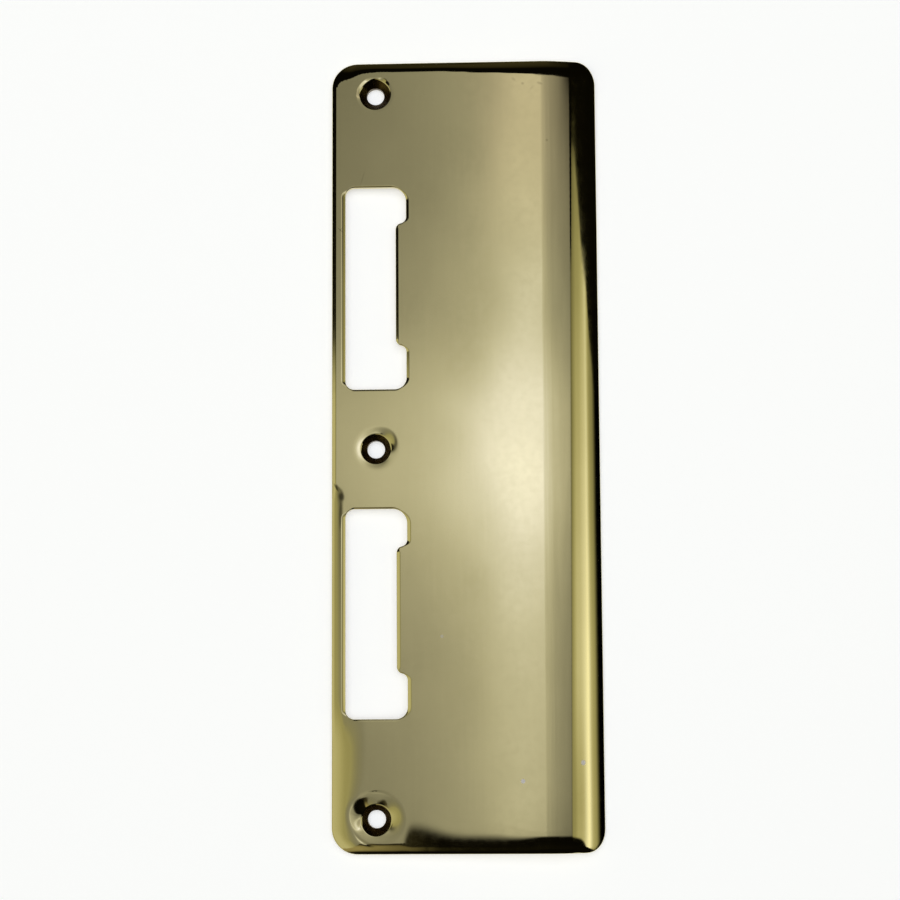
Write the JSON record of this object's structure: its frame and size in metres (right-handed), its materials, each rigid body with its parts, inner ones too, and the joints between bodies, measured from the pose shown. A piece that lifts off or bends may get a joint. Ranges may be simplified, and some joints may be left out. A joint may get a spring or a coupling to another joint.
{
  "type": "door strike plate",
  "caption": "Long pressed brass strike plate with a curled lip along one edge, stepped bolt openings and dimpled countersunk screw holes.",
  "frame": {"origin": "axis of the middle screw hole, in the plane of the flat back that lies against the door frame", "axes": "+X from the screw holes towards the curled lip, +Y along the plate, +Z out of the show face"},
  "size_m": [0.0686, 0.203, 0.0066],
  "materials": {
    "polished_brass": "polished"
  },
  "bodies": {
    "root": {"strike_plate": "polished_brass"}
  },
  "joints": []
}
